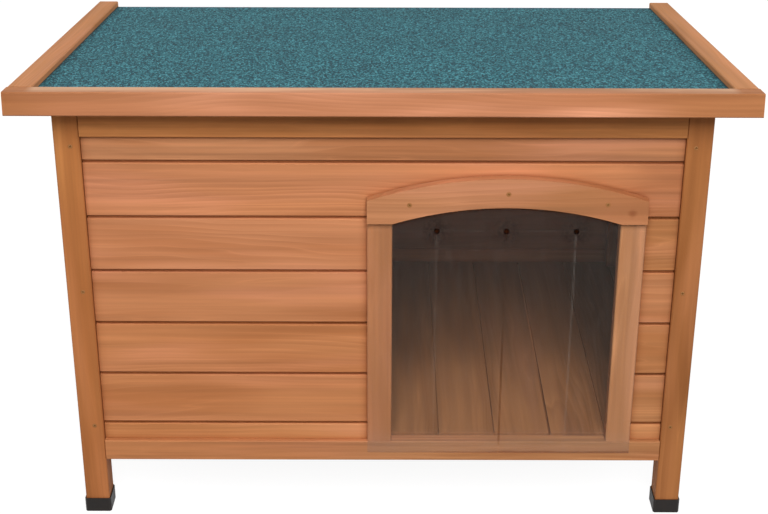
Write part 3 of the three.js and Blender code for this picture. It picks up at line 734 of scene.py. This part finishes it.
SCREW_PROUD = 0.25 * MM
RECESS_DEPTH = 0.21 * MM  # its floor stays clear of the wood's own face, which isn't cut
SHANK_DEPTH = 1.3 * MM
SCREW_STEPS = 32
HEAD_CHAMFER = 0.10 * MM
HEAD_FACE_SHARE = 0.93
CROSS_ARM, CROSS_HALF_WIDTH = 0.70, 0.21  # shares of the radius
CROSS_TAPER = 0.8
CROSS_LIP_DEPTH = 0.04 * MM
RIM_DIP = 0.14 * MM
RIM_GAP = 0.02 * MM
WOOD_SCREW_RADIUS = 2.3 * MM
HARDWARE_SCREW_RADIUS = 2.6 * MM
RIM_SHARE = 1.28  # of the screw's radius

# Places, in millimetres: across from the middle and above the ground. Turns of the crosses are in radians.
POST_SCREW_X = 361
FRONT_POST_SCREWS = (127.0, 314.5, 502.0)
REAR_POST_SCREWS = (127.0, 290.0, 452.0)
ARCH_SCREWS = ((31.0, 432.0), (146.6, 446.0), (263.0, 433.0))
FIRST_WOOD_TURN, WOOD_TURN_STEP = 0.3, 1.1
FIRST_HARDWARE_TURN, HARDWARE_TURN_STEP = 0.8, 1.3

# Hinge leaves and stay brackets, in millimetres
LEAF_SCREW_OFFSETS = (-19.0, 19.0)  # from the middle of a leaf
LEAF_SCREW_INSET = 6.5  # from the leaf's free edge
LEAF_THICKNESS = 1.2
ROOF_LEAF_RISE = 0.6  # of its sloping face over its lowest corner, at the screws
BRACKET_SCREW_BACKS = (6.0, 24.0)  # from the front end of the bracket
BRACKET_SCREW_INSET = 5.5
BRACKET_THICKNESS = 1.5


def speckled(name, scale, detail, tones, tone_range, roughness, specular=None, metallic=None):
    """A small part's look: two tones and a roughness that follow one noise. tone_range is of that noise."""
    g = material_graph(name)
    noise = g.noise(g.node("ShaderNodeTexCoord").outputs["Object"], scale, detail, 0.6)
    return g.finish(g.principled({
        "Base Color": g.mix(g.remap(noise, *tone_range), rgb(*tones[0]), rgb(*tones[1])),
        "Metallic": metallic,
        "Roughness": g.remap(noise, 0.3, 0.7, *roughness),
        "Specular IOR Level": specular,
    }))


def screw_mesh(name, radius, look, rim_look, recess_look):
    """A countersunk cross-head, its face along +Z at height 0, with a recess cut in and a rim round it."""
    mesh = bpy.data.meshes.new(name)
    build = bmesh.new()

    def circle(share, height):
        ring = []
        for index in range(SCREW_STEPS):
            angle = 2 * math.pi * index / SCREW_STEPS
            place = (share * radius * math.cos(angle), share * radius * math.sin(angle), height)
            ring.append(build.verts.new(place))
        return ring

    def band(lower, upper, slot=0):
        for index in range(SCREW_STEPS):
            after = (index + 1) % SCREW_STEPS
            face = build.faces.new((lower[index], lower[after], upper[after], upper[index]))
            face.material_index = slot

    # Head
    outer = circle(1.0, -SHANK_DEPTH)
    shoulder = circle(1.0, -HEAD_CHAMFER)
    top = circle(HEAD_FACE_SHARE, 0.0)
    band(outer, shoulder)
    band(shoulder, top)
    build.faces.new(list(reversed(outer)))

    # Cross-shaped recess
    arm = radius * CROSS_ARM
    half = radius * CROSS_HALF_WIDTH
    cross = [
        (arm, -half), (arm, half), (half, half), (half, arm), (-half, arm), (-half, half),
        (-arm, half), (-arm, -half), (-half, -half), (-half, -arm), (half, -arm), (half, -half),
    ]
    lip = [build.verts.new((x, y, -CROSS_LIP_DEPTH)) for x, y in cross]
    well = [build.verts.new((x * CROSS_TAPER, y * CROSS_TAPER, -RECESS_DEPTH)) for x, y in cross]
    edges = []
    for loop in (top, lip):
        for index, vert in enumerate(loop):
            after = loop[(index + 1) % len(loop)]
            edges.append(build.edges.get((vert, after)) or build.edges.new((vert, after)))
    bmesh.ops.triangle_fill(build, use_beauty=True, edges=edges)
    for index in range(len(lip)):
        after = (index + 1) % len(lip)
        build.faces.new((lip[after], lip[index], well[index], well[after])).material_index = 2
    build.faces.new(well).material_index = 2

    # Rim
    rim_outer = circle(RIM_SHARE, -SHANK_DEPTH)
    rim_shoulder = circle(RIM_SHARE, -SCREW_PROUD + RIM_GAP)
    rim_inner = circle(1.0, -RIM_DIP)
    rim_foot = circle(1.0, -SHANK_DEPTH)
    band(rim_outer, rim_shoulder, 1)
    band(rim_shoulder, rim_inner, 1)
    band(rim_inner, rim_foot, 1)
    band(rim_foot, rim_outer, 1)

    bmesh.ops.recalc_face_normals(build, faces=build.faces)
    build.to_mesh(mesh)
    build.free()
    for material in (look, rim_look, recess_look):
        mesh.materials.append(material)
    return mesh


# Painted shade in the cross, dulled yellow-passivated steel, and the dark, crushed wood round a countersunk
# screw
RECESS_LOOK = speckled(
    "screw_recess", 1800.0, 2.0, ((104, 62, 28), (128, 80, 38)), (0.3, 0.7), (0.75, 0.95), specular=0.1,
)
STEEL_LOOK = speckled(
    "screw_steel", 900.0, 3.0, ((144, 98, 52), (176, 126, 74)), (0.35, 0.65), (0.42, 0.62), metallic=0.35,
)
RIM_LOOK = speckled(
    "countersink", 1500.0, 2.0, ((148, 92, 50), (170, 108, 60)), (0.3, 0.7), (0.7, 0.9), specular=0.12,
)
WOOD_SCREW = screw_mesh("wood_screw", WOOD_SCREW_RADIUS, STEEL_LOOK, RIM_LOOK, RECESS_LOOK)
HARDWARE_SCREW = screw_mesh("hardware_screw", HARDWARE_SCREW_RADIUS, zinc_look, zinc_look, RECESS_LOOK)


def add_screw(name, place, facing, body, turn, mesh):
    """place is on the surface, in millimetres, and facing is the way the head looks."""
    screw = bpy.data.objects.new(name, mesh)
    bpy.context.scene.collection.objects.link(screw)
    facing = Vector(facing).normalized()
    aim = facing.to_track_quat("Z", "Y").to_matrix().to_4x4()
    where = Vector(place) * MM + facing * SCREW_PROUD
    screw.matrix_world = Matrix.Translation(where) @ aim @ Matrix.Rotation(turn, 4, "Z")
    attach(screw, body)


def add_wood_screws():
    """Three in each post, at the front and the rear, and three in the arch."""
    forward, backward = (0, -1, 0), (0, 1, 0)
    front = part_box("front_left_post")[0].y / MM
    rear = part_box("rear_left_post")[1].y / MM
    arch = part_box("door_arch")[0].y / MM
    screws = []
    for side, label in ((-1, "left"), (1, "right")):
        for index, height in enumerate(FRONT_POST_SCREWS):
            place = (side * POST_SCREW_X, front, height)
            screws.append((f"front_{label}_post_screw_{index + 1}", place, forward))
        for index, height in enumerate(REAR_POST_SCREWS):
            place = (side * POST_SCREW_X, rear, height)
            screws.append((f"rear_{label}_post_screw_{index + 1}", place, backward))
    for index, (x, height) in enumerate(ARCH_SCREWS):
        screws.append((f"arch_screw_{index + 1}", (x, arch, height), forward))
    for index, (name, place, facing) in enumerate(screws):
        add_screw(name, place, facing, "house", FIRST_WOOD_TURN + index * WOOD_TURN_STEP, WOOD_SCREW)


def add_hardware_screws():
    """Two in each leaf of a hinge and two in the plate of each stay bracket, into the roof or the wall."""
    pitch = math.radians(ROOF_SLOPE)
    down = (0.0, -math.sin(pitch), -math.cos(pitch))
    screws = []
    for side, label in ((-1, "left"), (1, "right")):
        low, high = (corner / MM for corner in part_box(f"{label}_hinge_wall_leaf"))
        middle = (low.x + high.x) / 2
        for index, offset in enumerate(LEAF_SCREW_OFFSETS):
            place = (middle + offset, low.y + LEAF_THICKNESS, low.z + LEAF_SCREW_INSET)
            screws.append((f"{label}_wall_leaf_screw_{index + 1}", place, (0, 1, 0), "house"))
        low, high = (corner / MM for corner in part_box(f"{label}_hinge_roof_leaf"))
        for index, offset in enumerate(LEAF_SCREW_OFFSETS):
            place = (middle + offset, high.y - LEAF_SCREW_INSET, low.z + ROOF_LEAF_RISE)
            screws.append((f"{label}_roof_leaf_screw_{index + 1}", place, down, "roof"))
        low, high = (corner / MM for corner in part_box(f"{label}_stay_bracket"))
        inboard = high.x if side < 0 else low.x
        for index, back in enumerate(BRACKET_SCREW_BACKS):
            drop = back * math.tan(pitch) + BRACKET_THICKNESS / math.cos(pitch)
            place = (inboard + side * BRACKET_SCREW_INSET, low.y + back, high.z - drop)
            screws.append((f"{label}_bracket_screw_{index + 1}", place, down, "roof"))
    for index, (name, place, facing, body) in enumerate(screws):
        turn = FIRST_HARDWARE_TURN + index * HARDWARE_TURN_STEP
        add_screw(name, place, facing, body, turn, HARDWARE_SCREW)


add_wood_screws()
add_hardware_screws()


# ---------------------------------------------------------------- floor, light and background

FLOOR_SIZE = 14.0
FLOOR_DROP = 0.2 * MM
PAPER_LIT = (0.35, 0.35, 0.35, 1.0)  # for the light that it throws on the house
PAPER_SEEN = (0.95, 0.95, 0.95, 1.0)
FLOOR_GLOW = 1.09
FLOOR_GLOW_SHARE = 0.85  # the rest takes the house's shadow
AMBIENT = 0.19
AIM = (0, 0, 0.3)
# Name, place, size and energy
LAMPS = (
    ("key", (0.12, -2.60, 2.65), (1.7, 1.8), 112.0),
    ("left_rear_fill", (-2.9, 1.7, 1.7), (1.8, 1.8), 44.0),
    ("right_rear_fill", (2.9, 1.7, 1.7), (1.8, 1.8), 44.0),
)


def seen_directly(g):
    """1 for what the camera sees itself, in a reflection or through the sheet, 0 for light on the house."""
    path = g.node("ShaderNodeLightPath").outputs
    seen = g.math("MAXIMUM", path["Is Camera Ray"], path["Is Glossy Ray"])
    return g.math("MAXIMUM", seen, path["Is Transmission Ray"])


def add_floor():
    half = FLOOR_SIZE / 2
    corners = [(-half, -half, 0), (half, -half, 0), (half, half, 0), (-half, half, 0)]
    mesh = bpy.data.meshes.new("studio_floor")
    mesh.from_pydata(corners, [], [(0, 1, 2, 3)])
    floor = bpy.data.objects.new("studio_floor", mesh)
    floor.location.z = -FLOOR_DROP
    bpy.context.scene.collection.objects.link(floor)
    g = material_graph("studio_floor")
    seen = seen_directly(g)
    paper = g.node("ShaderNodeBsdfDiffuse", {"Color": g.mix(seen, PAPER_LIT, PAPER_SEEN)}).outputs[0]
    glow = g.node("ShaderNodeEmission", {"Color": WHITE, "Strength": FLOOR_GLOW}).outputs[0]
    mesh.materials.append(g.finish(g.blend(g.math("MULTIPLY", seen, FLOOR_GLOW_SHARE), paper, glow)))


def add_lamp(name, place, size, energy):
    data = bpy.data.lights.new(name, "AREA")
    data.shape = "RECTANGLE"
    data.size, data.size_y = size
    data.energy = energy
    lamp = bpy.data.objects.new(name, data)
    bpy.context.scene.collection.objects.link(lamp)
    lamp.location = place
    lamp.rotation_mode = "QUATERNION"
    lamp.rotation_quaternion = (Vector(AIM) - Vector(place)).to_track_quat("-Z", "Y")


def add_world():
    """Plain white where it is seen, and a weak even light on the house."""
    world = bpy.data.worlds.new("studio")
    bpy.context.scene.world = world
    g = Graph(world, "ShaderNodeOutputWorld")
    ambient = g.node("ShaderNodeBackground", {"Color": WHITE, "Strength": AMBIENT}).outputs[0]
    backdrop = g.node("ShaderNodeBackground", {"Color": WHITE, "Strength": 1.0}).outputs[0]
    g.finish(g.blend(seen_directly(g), ambient, backdrop))


add_world()
add_floor()
for lamp_row in LAMPS:
    add_lamp(*lamp_row)

bpy.context.scene.view_settings.view_transform = "Standard"
